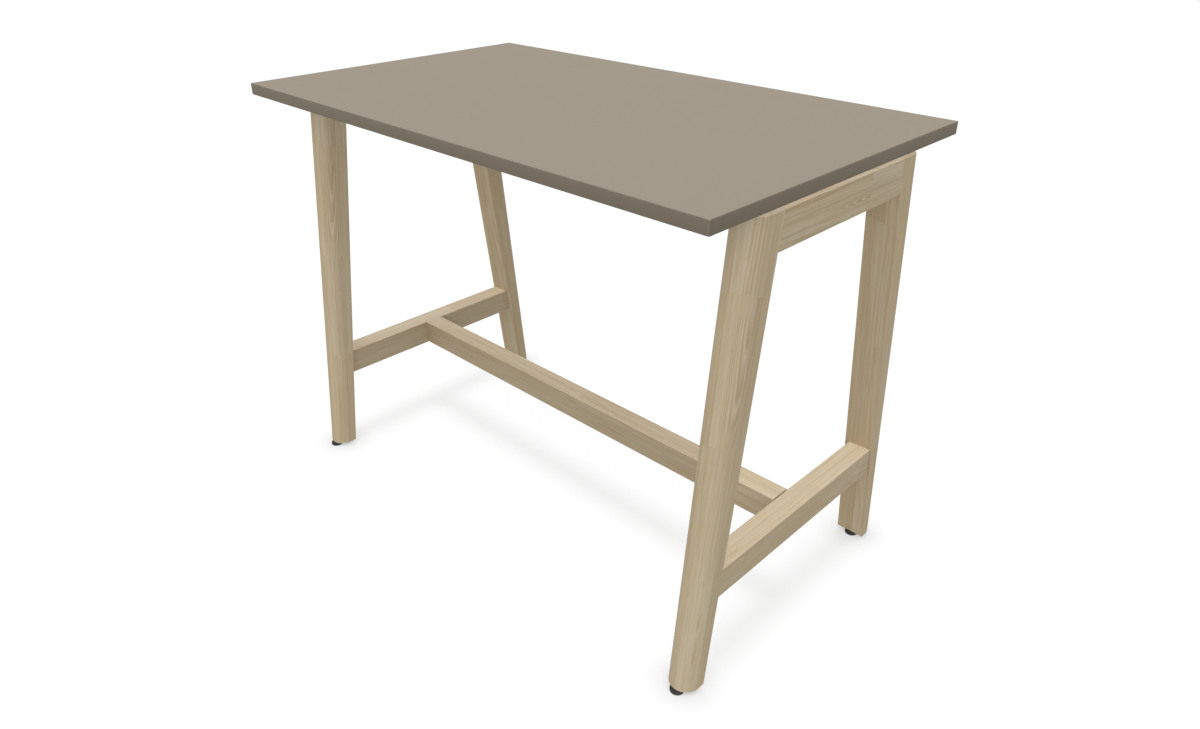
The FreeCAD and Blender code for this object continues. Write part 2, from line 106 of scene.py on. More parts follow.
class Graph:
    """One material's node tree, with short calls for the nodes used here."""

    def __init__(self, name):
        self.material = bpy.data.materials.new(name)
        self.material.use_nodes = True
        self.tree = self.material.node_tree
        self.shader = self.tree.nodes["Principled BSDF"]

    def feed(self, socket, value):
        """Links a socket to another one, or sets its value."""
        if isinstance(value, bpy.types.NodeSocket):
            self.tree.links.new(value, socket)
        else:
            socket.default_value = value

    def add(self, kind, inputs=None, **settings):
        node = self.tree.nodes.new(kind)
        for key, value in settings.items():
            setattr(node, key, value)
        for key, value in (inputs or {}).items():
            self.feed(node.inputs[key], value)
        return node

    def math(self, operation, *values, clamp=False):
        node = self.add("ShaderNodeMath", operation=operation, use_clamp=clamp)
        for socket, value in zip(node.inputs, values):
            self.feed(socket, value)
        return node.outputs[0]

    def centred(self, value):
        """A value from 0 to 1, moved so that it runs about 0."""
        return self.math("SUBTRACT", value, 0.5)

    def vector(self, operation, *values):
        node = self.add("ShaderNodeVectorMath", operation=operation)
        for socket, value in zip(node.inputs, values):
            self.feed(socket, value)
        return node.outputs["Value" if operation in ("DOT_PRODUCT", "LENGTH") else "Vector"]

    def combine(self, x, y, z):
        return self.add("ShaderNodeCombineXYZ", {"X": x, "Y": y, "Z": z}).outputs[0]

    def separate(self, vector):
        return self.add("ShaderNodeSeparateXYZ", {"Vector": vector}).outputs

    def place(self):
        """The point's place in the frame, in metres."""
        return self.add("ShaderNodeTexCoord").outputs["Object"]

    def noise(self, vector, scale, detail=2.0, roughness=0.5):
        node = self.add(
            "ShaderNodeTexNoise",
            {"Vector": vector, "Scale": scale, "Detail": detail, "Roughness": roughness},
        )
        return node.outputs["Fac"]

    def random(self, vector, seed):
        """Three even random numbers for a vector."""
        node = self.add(
            "ShaderNodeTexWhiteNoise", {"Vector": vector, "W": seed}, noise_dimensions="4D"
        )
        return self.separate(node.outputs["Color"])

    def between(self, value, low, high, to_low=0.0, to_high=1.0, smooth=True):
        """A ramp from to_low at low to to_high at high, and level beyond them."""
        node = self.add(
            "ShaderNodeMapRange",
            {"Value": value, "From Min": low, "From Max": high,
             "To Min": to_low, "To Max": to_high},
            interpolation_type="SMOOTHSTEP" if smooth else "LINEAR",
        )
        return node.outputs["Result"]

    def mix(self, amount, first, second):
        node = self.add("ShaderNodeMix", data_type="RGBA")
        self.feed(node.inputs["Factor"], amount)
        self.feed(node.inputs[MIX_FIRST], first)
        self.feed(node.inputs[MIX_SECOND], second)
        return node.outputs[MIX_RESULT]

    def bump(self, height, depth):
        return self.add("ShaderNodeBump", {"Height": height, "Distance": depth}).outputs["Normal"]

    def edge(self, radius, reach):
        """1 along the piece's convex edges, 0 on its faces."""
        bevel = self.add("ShaderNodeBevel", {"Radius": radius}, samples=EDGE_SAMPLES)
        true = self.add("ShaderNodeNewGeometry").outputs["Normal"]
        alike = self.vector("DOT_PRODUCT", bevel.outputs["Normal"], true)
        return self.between(self.math("SUBTRACT", 1.0, alike), 0.0, reach)

    def finish(self, color, roughness, normal=None, **constants):
        """Feeds the shader. A constant's name is its socket's, with _ for each space."""
        self.feed(self.shader.inputs["Base Color"], color)
        self.feed(self.shader.inputs["Roughness"], roughness)
        if normal is not None:
            self.feed(self.shader.inputs["Normal"], normal)
        for key, value in constants.items():
            socket = key.replace("_", " ").title().replace("Ior", "IOR")
            self.shader.inputs[socket].default_value = value
        return self.material


def shade(name, amount=1.0):
    """One of the palette's colours, made lighter or darker."""
    red, green, blue = PALETTE[name]
    return (red * amount, green * amount, blue * amount, 1.0)


def dress(material, *names):
    """Gives the frame's nodes a material."""
    for name in names:
        mesh = nodes[name].data
        mesh.materials.clear()
        mesh.materials.append(material)


def each(stem, ends):
    """The names of a set of nodes that differ in their last words."""
    return [stem + "_" + end for end in ends]


def middle_of(name):
    low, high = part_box(name)
    return [(a + b) / 2 for a, b in zip(low, high)]


# Solid ash, glued up from strips that are butted end to end.
ASH = Values(
    strip_width=0.044, block_length=0.2945, block_stagger=0.03,
    block_seed=0.5, tone_draw=7.0, apart_u=3.0, apart_v=5.0,
    pith_near=0.025, pith_reach=0.090, pith_tilt=0.08,
    ring_gap=0.0022, ring_gap_spread=0.0036, ring_sway=0.0032, ring_ripple=0.0004,
    growth={"scale": 130.0, "detail": 1.0}, growth_spread=2.4,
    late_rise=(0.20, 0.85), late_fall=(1.0, 0.9),
    early_rise=(0.0, 0.10), early_fall=(0.40, 0.16),
    fade_range=(0.36, 0.64), ring_depth=0.15, ring_depth_spread=0.35,
    flame_fade=0.025, flame_rim=0.003,
    pore_range=(0.60, 0.72), pore_everywhere=0.2, pore_early=0.8,
    broad_share=1.05, streak_share=1.55, fibre_share=0.80,
    shade_least=0.31, shade_spread=0.18, pink_spread=0.8, pink_for_pale=2.0,
    lighter=1.10, early_light=0.9, pore_dark=0.35,
    edge={"radius": 0.0025, "reach": 0.35}, wear=0.20,
    pore_height=-0.8, fibre_height=0.6, bump=0.00012,
    rough=0.52, rough_late=-0.06, rough_fibre=0.18, specular=0.2,
)
# Noises drawn out along the grain: share of the length kept, scale, detail and roughness.
ASH_GRAIN = {
    "sway": (0.12, 30.0, 2.0, 0.5),
    "ripple": (0.05, 170.0, 2.0, 0.5),
    "fade": (0.16, 48.0, 2.0, 0.5),
    "broad": (0.05, 55.0, 2.0, 0.5),
    "streak": (0.014, 240.0, 3.0, 0.6),
    "fibre": (0.022, 900.0, 2.0, 0.6),
    "pore": (0.030, 1500.0, 1.0, 0.5),
}


def ash(
    name, origin, along, across, seed, strip_start, joint, tone=1.0,
    figure=None, contrast=1.0, pale=0.0, painted_light_end=None, strip_width=ASH.strip_width,
):
    """Ash whose grain runs along one axis of a piece, in strips that lie side by side across it.

    One glue joint lies at joint along the piece. A figure names a strip and a block of it, in
    which a pith near the surface draws a flame of rings on the face above it. The strip from
    strip_start on is pale, the others darker by as much. A painted light end is one more block,
    beyond a joint of its own, that is some times lighter than the rest: partly the block's own
    tone, partly painted light, where the rest lies in shade.
    """
    g = Graph(name)
    along = Vector(along).normalized()
    across = Vector(across).normalized()
    through = along.cross(across)
    local = g.vector("SUBTRACT", g.place(), tuple(origin))
    u, v, w = (g.vector("DOT_PRODUCT", local, tuple(axis)) for axis in (across, through, along))

    row_place = g.math("DIVIDE", g.math("SUBTRACT", u, strip_start), strip_width)
    row = g.math("FLOOR", row_place)
    row_dice = g.random(g.combine(row, 0.0, 0.0), seed)
    stagger = g.math("MULTIPLY", g.centred(row_dice[0]), ASH.block_stagger)
    block_along, beyond = w, 0.0
    if painted_light_end:
        block_along = g.math("MINIMUM", w, painted_light_end["joint"])
        beyond = g.math("GREATER_THAN", w, painted_light_end["joint"])
    from_joint = g.math("SUBTRACT", block_along, joint)
    block_place = g.math("ADD", g.math("DIVIDE", from_joint, ASH.block_length), stagger)
    block = g.math("ADD", g.math("FLOOR", block_place), beyond)
    dice = g.random(g.combine(row, block, 0.0), seed + ASH.block_seed)
    tone_dice = g.random(g.combine(row, block, ASH.tone_draw), seed + ASH.block_seed)

    # Every block is cut from another place in the tree.
    cut_u = g.math("MULTIPLY_ADD", dice[2], ASH.apart_u, u)
    cut_v = g.math("MULTIPLY_ADD", dice[1], ASH.apart_v, v)

    def grain(kind):
        share, *look = ASH_GRAIN[kind]
        return g.noise(g.combine(cut_u, cut_v, g.math("MULTIPLY", w, share)), *look)

    # Growth rings about a pith that leans a little to the strip's length.
    angle = g.math("MULTIPLY", dice[0], math.tau)
    reach = g.math("MULTIPLY_ADD", dice[1], ASH.pith_reach, ASH.pith_near)
    pith = {
        "pith_u": g.math("MULTIPLY", g.math("COSINE", angle), reach),
        "pith_v": g.math("MULTIPLY", g.math("SINE", angle), reach),
        "lean_u": g.math("MULTIPLY", g.centred(dice[2]), ASH.pith_tilt),
        "lean_v": g.math("MULTIPLY", g.centred(row_dice[1]), ASH.pith_tilt),
        "gap": g.math("MULTIPLY_ADD", tone_dice[1], ASH.ring_gap_spread, ASH.ring_gap),
    }
    if figure:
        in_row = g.math("COMPARE", row, figure["row"], SAME)
        only = g.math("MULTIPLY", in_row, g.math("COMPARE", block, figure["block"], SAME))
        for key, usual in pith.items():
            change = g.math("SUBTRACT", figure[key], usual)
            pith[key] = g.math("MULTIPLY_ADD", only, change, usual)
    block_w = g.math("MULTIPLY", g.centred(g.math("FRACT", block_place)), ASH.block_length)
    row_u = g.math("MULTIPLY", g.centred(g.math("FRACT", row_place)), strip_width)
    section = g.combine(
        g.math("SUBTRACT", row_u, g.math("MULTIPLY_ADD", pith["lean_u"], block_w, pith["pith_u"])),
        g.math("SUBTRACT", v, g.math("MULTIPLY_ADD", pith["lean_v"], block_w, pith["pith_v"])),
        0.0,
    )
    distance = g.vector("LENGTH", section)
    distance = g.math("MULTIPLY_ADD", g.centred(grain("sway")), ASH.ring_sway, distance)
    distance = g.math("MULTIPLY_ADD", g.centred(grain("ripple")), ASH.ring_ripple, distance)
    growth = g.noise(g.combine(distance, dice[0], 0.0), **ASH.growth)
    years = g.math("DIVIDE", distance, pith["gap"])
    ring = g.math("FRACT", g.math("MULTIPLY_ADD", growth, ASH.growth_spread, years))
    late = g.math("MULTIPLY", g.between(ring, *ASH.late_rise), g.between(ring, *ASH.late_fall))
    early = g.math("MULTIPLY", g.between(ring, *ASH.early_rise), g.between(ring, *ASH.early_fall))
    fade = g.between(grain("fade"), *ASH.fade_range)
    depth = g.math("MULTIPLY_ADD", tone_dice[1], ASH.ring_depth_spread, ASH.ring_depth)
    drawn = g.math("MULTIPLY", fade, depth)
    if figure:
        tip, end, rim = figure["tip"], figure["open_end"], figure["reach"]
        inside = g.between(block_w, tip - ASH.flame_fade, tip)
        inside = g.math("MULTIPLY", inside, g.between(block_w, end, end - ASH.flame_fade))
        inside = g.math("MULTIPLY", inside, g.between(distance, rim, rim - ASH.flame_rim))
        flame = g.math("MULTIPLY", inside, figure["depth"])
        drawn = g.math("MULTIPLY_ADD", only, g.math("SUBTRACT", flame, drawn), drawn)

    # Streaks, fibres and pores, drawn out along the grain.
    fibre = g.centred(grain("fibre"))
    pore_share = g.math("MULTIPLY_ADD", early, ASH.pore_early, ASH.pore_everywhere)
    pore = g.math("MULTIPLY", g.between(grain("pore"), *ASH.pore_range), pore_share)
    shading = g.math("MULTIPLY", late, drawn)
    for part, share in (
        (g.centred(grain("broad")), ASH.broad_share * contrast),
        (g.centred(grain("streak")), ASH.streak_share * contrast),
        (fibre, ASH.fibre_share),
    ):
        shading = g.math("MULTIPLY_ADD", part, share, shading)

    # The pale strip is lighter and less pink by as much as the others are darker and pinker.
    is_pale = g.math("COMPARE", row, 0.0, SAME)
    shading = g.math("MULTIPLY_ADD", is_pale, -2.0 * pale, g.math("ADD", shading, pale))
    block_shade = g.math("MULTIPLY_ADD", tone_dice[0], ASH.shade_spread, ASH.shade_least)
    shading = g.math("ADD", shading, block_shade, clamp=True)
    pinker = ASH.pink_for_pale * pale
    pink = g.math("MULTIPLY_ADD", tone_dice[2], ASH.pink_spread, pinker)
    pink = g.math("MULTIPLY_ADD", is_pale, -2.0 * pinker, pink, clamp=True)

    light = shade("ash_light", tone * ASH.lighter)
    color = g.mix(pink, shade("ash_light", tone), shade("ash_pink", tone))
    color = g.mix(shading, color, shade("ash_dark", tone))
    early_light = g.math("MULTIPLY", early, g.math("MULTIPLY", drawn, ASH.early_light))
    color = g.mix(early_light, color, light)
    color = g.mix(g.math("MULTIPLY", pore, ASH.pore_dark), color, shade("ash_pore", tone))
    # The lighter end block: partly its own tone, partly painted light.
    if painted_light_end:
        painted_lift = g.math("MULTIPLY_ADD", beyond, painted_light_end["times"] - 1.0, 1.0)
        color = g.vector("MULTIPLY", color, g.combine(painted_lift, painted_lift, painted_lift))
    color = g.mix(g.math("MULTIPLY", g.edge(**ASH.edge), ASH.wear), color, light)

    fibres = g.math("MULTIPLY", fibre, ASH.fibre_height)
    height = g.math("MULTIPLY_ADD", pore, ASH.pore_height, fibres)
    rough = g.math("MULTIPLY_ADD", late, ASH.rough_late, ASH.rough)
    rough = g.math("MULTIPLY_ADD", fibre, ASH.rough_fibre, rough)
    return g.finish(color, rough, g.bump(height, ASH.bump), specular_ior_level=ASH.specular)


# A leg's axis in the frame, and where its pale strip starts across the leg, with its width.
LEG_FOOT = 0.0095
LEG_LEAN = 0.1111
LEG_AXIS_X = 0.660
LEG_FOOT_Y = 0.35275
LEG_JOINT = 0.2833
LEG_PALE = 0.10
# The narrower widths put the +X flank of all legs but the front left one in a darker strip: partly
# the strips' own tone, partly painted shade.
LEG_STRIPS = {
    "front_left": (0.006, ASH.strip_width),
    "front_right": (0.0, 0.0345),
    "back_left": (0.006, 0.024),
    "back_right": (0.006, 0.024),
}
LEG_PITH = 0.0162
LEG_FIGURE = {
    "row": 0.0, "block": 1.0, "pith_v": -0.006, "lean_u": 0.024, "lean_v": 0.0, "gap": 0.0017,
    "tip": -0.095, "open_end": 0.120, "reach": 0.0260, "depth": 0.55,
}


def leg_wood(corner, seed, tone=1.0, flame=False):
    """Ash that runs up a leg's lean."""
    start, width = LEG_STRIPS[corner]
    figure = {**LEG_FIGURE, "pith_u": LEG_PITH - start - width / 2} if flame else None
    out = -1.0 if corner.startswith("front") else 1.0
    side = -1.0 if corner.endswith("left") else 1.0
    foot = (side * LEG_AXIS_X, out * LEG_FOOT_Y, LEG_FOOT)
    return ash(
        "ash_leg_" + corner, foot, (0.0, -out * LEG_LEAN, 1.0), X_AXIS,
        seed, start, LEG_JOINT, tone, figure, pale=LEG_PALE, strip_width=width,
    )


RAIL_JOINT = 0.085
RAIL_FIGURE = {
    "row": 0.0, "block": -1.0, "pith_u": -0.013, "pith_v": 0.0108, "lean_u": 0.0, "lean_v": 0.045,
    "gap": 0.0013, "tip": 0.050, "open_end": 0.165, "reach": 0.0170, "depth": 0.80,
}


def rail_wood(name, seed, strip_start, tone=1.0, figure=None, contrast=1.0):
    """Ash that runs along a rail from front to back."""
    return ash(
        "ash_" + name, middle_of(name), Y_AXIS, Z_AXIS,
        seed, strip_start, RAIL_JOINT, tone, figure, contrast,
    )


STRETCHER_JOINT = 0.02
# The right end's block is made lighter: partly painted light.
STRETCHER_PAINTED_LIGHT_END = {"joint": 0.48, "times": 1.20}


def stretcher_wood(seed, strip_start, tone):
    """Ash that runs along the stretcher, whose right end is a lighter block: partly its own tone,
    partly painted light, where the rest lies in shade.
    """
    return ash(
        "ash_stretcher", middle_of("stretcher"), X_AXIS, Z_AXIS,
        seed, strip_start, STRETCHER_JOINT, tone, painted_light_end=STRETCHER_PAINTED_LIGHT_END,
    )


LAMINATE = Values(
    fleck={"scale": 900.0, "detail": 3.0, "roughness": 0.65},
    cloud={"scale": 5.0, "detail": 3.0},
    grain={"scale": 1700.0},
    cloud_share=0.05, dark=0.90, light=1.10,
    edge={"radius": 0.0015, "reach": 0.4}, wear=0.30, worn=1.35,
    rough=0.37, rough_cloud=0.06, rough_grain=0.10, bump=0.00004, specular=0.5, sheen=0.12,
)


def laminate(name, color, speck):
    """Satin decor laminate: a plain colour with a fine, soft print, a pressed texture, and painted
    highlight, partly edge wear, along its edges.
    """
    g = Graph(name)
    place = g.place()
    fleck = g.centred(g.noise(place, **LAMINATE.fleck))
    cloud = g.centred(g.noise(place, **LAMINATE.cloud))
    clouds = g.math("MULTIPLY", cloud, LAMINATE.cloud_share)
    amount = g.math("ADD", g.math("MULTIPLY", fleck, speck), clouds)
    tone = g.math("ADD", amount, 0.5, clamp=True)
    base = g.mix(tone, shade(color, LAMINATE.dark), shade(color, LAMINATE.light))
    # Lighter along the edges: painted highlight, partly edge wear.
    wear = g.math("MULTIPLY", g.edge(**LAMINATE.edge), LAMINATE.wear)
    base = g.mix(wear, base, shade(color, LAMINATE.worn))
    grain = g.noise(place, **LAMINATE.grain)
    rough = g.math("MULTIPLY_ADD", cloud, LAMINATE.rough_cloud, LAMINATE.rough)
    rough = g.math("MULTIPLY_ADD", grain, LAMINATE.rough_grain, rough)
    return g.finish(
        base, rough, g.bump(grain, LAMINATE.bump),
        specular_ior_level=LAMINATE.specular, sheen_weight=LAMINATE.sheen,
    )


BAND = Values(
    fleck={"scale": 800.0, "detail": 3.0, "roughness": 0.65},
    run={"scale": 16.0}, run_squeeze=(1.0, 1.0, 14.0),
    fleck_share=0.5, run_share=0.35, dark=0.92, light=1.08,
    low_dark=0.60, low_share=0.30, glue_levels=(0.0022, 0.0006), glue_dark=0.45, glue_share=0.35,
    edge={"radius": 0.0022, "reach": 0.3}, wear=0.70, worn=1.7,
    rough=0.42, rough_fleck=0.15, bump=0.00004, specular=0.2,
)


def band(name, amount=1.0):
    """Glued plastic edge band, a shade darker than the laminate, with painted shade towards its
    bottom, a dark line along its bottom edge, and painted highlight, partly edge wear, along its
    edges.
    """
    g = Graph(name)
    place = g.place()
    z = g.separate(place)["Z"]
    low, high = (corner[2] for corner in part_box("edge_band_front"))
    # A dark line along the band's bottom edge.
    bottom_line = g.between(z, *(low + level for level in BAND.glue_levels))
    fleck = g.centred(g.noise(place, **BAND.fleck))
    run = g.centred(g.noise(g.vector("MULTIPLY", place, BAND.run_squeeze), **BAND.run))
    tone = g.math("MULTIPLY_ADD", run, BAND.run_share, 0.5)
    tone = g.math("MULTIPLY_ADD", fleck, BAND.fleck_share, tone, clamp=True)
    base = g.mix(tone, shade("band", BAND.dark * amount), shade("band", BAND.light * amount))
    # Darker towards the band's bottom: painted shade.
    painted_shade_low = g.between(z, high, low, 0.0, BAND.low_share)
    base = g.mix(painted_shade_low, base, shade("band", BAND.low_dark * amount))
    base = g.mix(g.math("MULTIPLY", bottom_line, BAND.glue_share), base, shade("band", BAND.glue_dark))
    # Lighter along the band's edges: painted highlight, partly edge wear.
    wear = g.math("MULTIPLY", g.edge(**BAND.edge), BAND.wear)
    base = g.mix(wear, base, shade("band", BAND.worn))
    rough = g.math("MULTIPLY_ADD", fleck, BAND.rough_fleck, BAND.rough)
    return g.finish(base, rough, g.bump(fleck, BAND.bump), specular_ior_level=BAND.specular)


CHIP = Values(
    flatten=(1.0, 1.0, 2.6), scale=420.0, rim=(0.25, 0.75), rim_share=0.5, rim_dark=0.5,
    dark=0.75, light=1.25, rough=0.75, rough_spread=0.15, bump=0.0002,
)


def chipboard():
    """Pressed wood chips."""
    g = Graph("chipboard")
    flat = g.vector("MULTIPLY", g.place(), CHIP.flatten)
    cells = g.add("ShaderNodeTexVoronoi", {"Vector": flat, "Scale": CHIP.scale, "Randomness": 1.0})
    dice = g.separate(cells.outputs["Color"])
    rim = g.math("MULTIPLY", g.between(cells.outputs["Distance"], *CHIP.rim), CHIP.rim_share)
    base = g.mix(dice[0], shade("chip", CHIP.dark), shade("chip", CHIP.light))
    base = g.mix(rim, base, shade("chip", CHIP.rim_dark))
    rough = g.math("MULTIPLY_ADD", dice[1], CHIP.rough_spread, CHIP.rough)
    return g.finish(base, rough, g.bump(dice[2], CHIP.bump))


BEECH = Values(
    fleck={"scale": 1100.0, "detail": 3.0, "roughness": 0.7}, fleck_range=(0.3, 0.7),
    dark=0.8, light=1.15, rough=0.5, rough_fleck=0.2, bump=0.0001,
)


def beech():
    """Beech pins, seen only in section."""
    g = Graph("beech_dowel")
    fleck = g.noise(g.place(), **BEECH.fleck)
    tone = g.between(fleck, *BEECH.fleck_range)
    base = g.mix(tone, shade("beech", BEECH.dark), shade("beech", BEECH.light))
    rough = g.math("MULTIPLY_ADD", fleck, BEECH.rough_fleck, BEECH.rough)
    return g.finish(base, rough, g.bump(fleck, BEECH.bump))


PLASTIC = Values(
    grit={"scale": 2400.0}, scuff={"scale": 130.0, "detail": 4.0, "roughness": 0.7},
    scuff_range=(0.50, 0.75), scuff_share=0.35,
    edge={"radius": 0.0006, "reach": 0.4}, wear=0.5, worn=1.3,
    rough=0.38, rough_grit=0.15, rough_scuff=0.12, bump=0.00005, specular=0.5,
)


def plastic():
    """Black moulded plastic with a fine pressed texture, greyer on its worn edges."""
    g = Graph("black_plastic")
    place = g.place()
    grit = g.noise(place, **PLASTIC.grit)
    scuff = g.between(g.noise(place, **PLASTIC.scuff), *PLASTIC.scuff_range)
    scuffs = g.math("MULTIPLY", scuff, PLASTIC.scuff_share)
    base = g.mix(scuffs, shade("plastic"), shade("plastic_worn"))
    wear = g.math("MULTIPLY", g.edge(**PLASTIC.edge), PLASTIC.wear)
    base = g.mix(wear, base, shade("plastic_worn", PLASTIC.worn))
    rough = g.math("MULTIPLY_ADD", grit, PLASTIC.rough_grit, PLASTIC.rough)
    rough = g.math("MULTIPLY_ADD", scuff, PLASTIC.rough_scuff, rough)
    return g.finish(base, rough, g.bump(grit, PLASTIC.bump), specular_ior_level=PLASTIC.specular)


BLACK_STEEL = Values(
    turned={"scale": 3000.0}, turned_squeeze=(0.12, 0.12, 1.0),
    patch={"scale": 240.0, "detail": 3.0, "roughness": 0.6}, dark=0.7, light=1.9,
    edge={"radius": 0.0005, "reach": 0.4}, wear=0.5, worn=1.6,
    rough=0.26, rough_turned=0.22, bump=0.00005, metallic=0.7,
)


def black_steel():
    """Blackened steel with turning marks round its axis."""
    g = Graph("black_steel")
    steel = BLACK_STEEL
    place = g.place()
    marks = g.noise(g.vector("MULTIPLY", place, steel.turned_squeeze), **steel.turned)
    patch = g.noise(place, **steel.patch)
    base = g.mix(patch, shade("steel_black", steel.dark), shade("steel_black", steel.light))
    wear = g.math("MULTIPLY", g.edge(**steel.edge), steel.wear)
    base = g.mix(wear, base, shade("plastic_worn", steel.worn))
    rough = g.math("MULTIPLY_ADD", marks, steel.rough_turned, steel.rough)
    return g.finish(base, rough, g.bump(marks, steel.bump), metallic=steel.metallic)


ZINC = Values(
    cloud={"scale": 300.0, "detail": 4.0, "roughness": 0.65}, dark=0.72, light=1.12,
    turned={"scale": 2600.0}, turned_squeeze=(0.2, 0.2, 1.0),
    rough=0.18, rough_turned=0.10, rough_cloud=0.20, bump=0.00004,
)


def zinc():
    """Bright zinc-plated steel with a clouded passivated skin."""
    g = Graph("zinc_steel")
    place = g.place()
    cloud = g.noise(place, **ZINC.cloud)
    marks = g.noise(g.vector("MULTIPLY", place, ZINC.turned_squeeze), **ZINC.turned)
    base = g.mix(cloud, shade("zinc", ZINC.dark), shade("zinc", ZINC.light))
    rough = g.math("MULTIPLY_ADD", marks, ZINC.rough_turned, ZINC.rough)
    rough = g.math("MULTIPLY_ADD", cloud, ZINC.rough_cloud, rough)
    return g.finish(base, rough, g.bump(marks, ZINC.bump), metallic=1.0)


dress(laminate("decor_laminate", "laminate", speck=0.45), "top_laminate")
dress(laminate("backing_laminate", "backing", speck=0.9), "backing_laminate")
dress(band("edge_band"), *each("edge_band", ("front", "back")))
# The end bands are 0.94 times as light as the front and back ones: painted shade.
dress(band("edge_band_painted_shade", amount=0.94), *each("edge_band", SIDES))
dress(chipboard(), "top_core")
dress(leg_wood("front_right", seed=11.0, tone=1.03, flame=True), "leg_front_right")
dress(leg_wood("front_left", seed=12.0, tone=1.04, flame=True), "leg_front_left")
dress(leg_wood("back_right", seed=13.0, tone=1.03), "leg_back_right")
dress(leg_wood("back_left", seed=14.0), "leg_back_left")
dress(
    rail_wood(
        "top_rail_right", seed=15.0, strip_start=-0.017, tone=0.98,
        figure=RAIL_FIGURE, contrast=1.6,
    ),
    "top_rail_right",
)
dress(rail_wood("top_rail_left", seed=16.0, strip_start=0.003), "top_rail_left")
dress(rail_wood("foot_rail_right", seed=17.0, strip_start=0.004), "foot_rail_right")
dress(rail_wood("foot_rail_left", seed=18.0, strip_start=-0.006, tone=0.92), "foot_rail_left")
dress(stretcher_wood(seed=19.0, strip_start=-0.012, tone=0.87), "stretcher")
dress(beech(), *each("frame_dowels", SIDES), "stretcher_dowels")
dress(plastic(), *each("foot_pad", CORNERS), *each("top_spacers", SIDES))
plated = zinc()
dress(
    plated,
    *each("top_screws", SIDES), *each("top_washers", SIDES), *each("top_inserts", SIDES),
    "stretcher_bolts", "stretcher_crescents", "stretcher_nuts", "foot_inserts",
)


# Turned hardware with cut threads, built round the CAD solids' own sizes.
TURNED_SIDES = 18
SHARP_ANGLE = math.radians(28.0)
HEX_TURN = math.pi / 3
M8_RADIUS = 0.004
M8_PITCH = 0.00125
M8_CUT = 0.00065
M8_TIP = 0.0032
M8_CHAMFER = 0.0008
THREAD_STEPS = 5
THREAD_CREST = 0.125
THREAD_FLANK = 0.75
STEM_NECK = 0.0039
FLANGE_RADIUS = 0.0065
FLANGE_LEVELS = (0.0021, 0.0041)
COLLAR_FLATS = 0.013
COLLAR_LEVELS = (0.0062, 0.0092)
COLLAR_ROUND = 0.0069
COLLAR_CHAMFER = 0.0005
HEAD_RADIUS = 0.0065
HEAD_HEIGHT = 0.008
HEAD_CHAMFER = 0.0006
SOCKET_FLATS = 0.006
SOCKET_DEPTH = 0.0042
SOCKET_MOUTH = 0.0037
SOCKET_CHAMFER = 0.0004
SCREW_THREAD = 0.028
WOOD_PITCH = 0.0032
WOOD_CUT = 0.0012
WOOD_TIP = 0.006
WOOD_POINT = 0.0008
BOLT_PLAIN = 0.004


def even(radius):
    """A round section."""
    return lambda turn: radius


def hexagon(flats, round_corner=math.inf):
    """A hexagonal section, whose corners may be cut back to a round."""
    def at(turn):
        return min(flats / 2 / math.cos(turn % HEX_TURN - HEX_TURN / 2), round_corner)
    return at


def thread(start, end, radius=M8_RADIUS, pitch=M8_PITCH, cut=M8_CUT):
    """The rings of a thread between two heights."""
    def section(rise):
        def at(turn):
            depth = abs(2.0 * ((rise / pitch - turn / math.tau) % 1.0) - 1.0)
            return radius - cut * min(max((depth - THREAD_CREST) / THREAD_FLANK, 0.0), 1.0)
        return at

    step = pitch / THREAD_STEPS
    rows = range(1, int((end - start) / step))
    return [(start + row * step, section(row * step)) for row in rows]


def m8_tip(end):
    """The chamfered end of a thread that points up its axis."""
    return [(end - M8_CHAMFER, even(M8_RADIUS - M8_CUT / 2)), (end, even(M8_TIP))]


def turned(name, node, material, slot, *bars):
    """A piece of turned bars in place of a CAD node: each has an origin, axes and rings."""
    mesh = bpy.data.meshes.new(name)
    form = bmesh.new()
    turns = [math.tau * side / TURNED_SIDES for side in range(TURNED_SIDES)]
    for origin, (first, second, along), rings in bars:
        rows = []
        for height, radius in rings:
            row = []
            for turn in turns:
                outward = first * math.cos(turn) + second * math.sin(turn)
                row.append(form.verts.new(origin + along * height + outward * radius(turn)))
            rows.append(row)
        for below, above in zip(rows, rows[1:]):
            for i in range(TURNED_SIDES):
                j = (i + 1) % TURNED_SIDES
                form.faces.new((below[i], below[j], above[j], above[i]))
        form.faces.new(rows[0][::-1])
        form.faces.new(rows[-1])
    form.to_mesh(mesh)
    form.free()
    mesh.shade_smooth()
    mesh.set_sharp_from_angle(angle=SHARP_ANGLE)
    mesh.materials.append(material)
    piece = bpy.data.objects.new(name, mesh)
    bpy.context.scene.collection.objects.link(piece)
    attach(piece, body_of(nodes[node])[0])
    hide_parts(node)
    return piece


def levelling_stem(corner, material):
    """Flange in the pad, neck, hexagon collar and M8 thread."""
    node = "foot_stem_" + corner
    low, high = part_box(node)
    foot, head = COLLAR_LEVELS
    rings = [
        (FLANGE_LEVELS[0], even(FLANGE_RADIUS)),
        (FLANGE_LEVELS[1], even(FLANGE_RADIUS)),
        (FLANGE_LEVELS[1], even(STEM_NECK)),
        (foot, even(STEM_NECK)),
        (foot, hexagon(COLLAR_FLATS, COLLAR_ROUND)),
        (foot + COLLAR_CHAMFER, hexagon(COLLAR_FLATS)),
        (head - COLLAR_CHAMFER, hexagon(COLLAR_FLATS)),
        (head, hexagon(COLLAR_FLATS, COLLAR_ROUND)),
        (head, even(M8_TIP)),
        *thread(head, high[2] - M8_CHAMFER),
        *m8_tip(high[2]),
    ]
    origin = Vector(((low[0] + high[0]) / 2, (low[1] + high[1]) / 2, 0.0))
    return turned("threaded_" + node, node, material, "black_steel", (origin, UPRIGHT, rings))


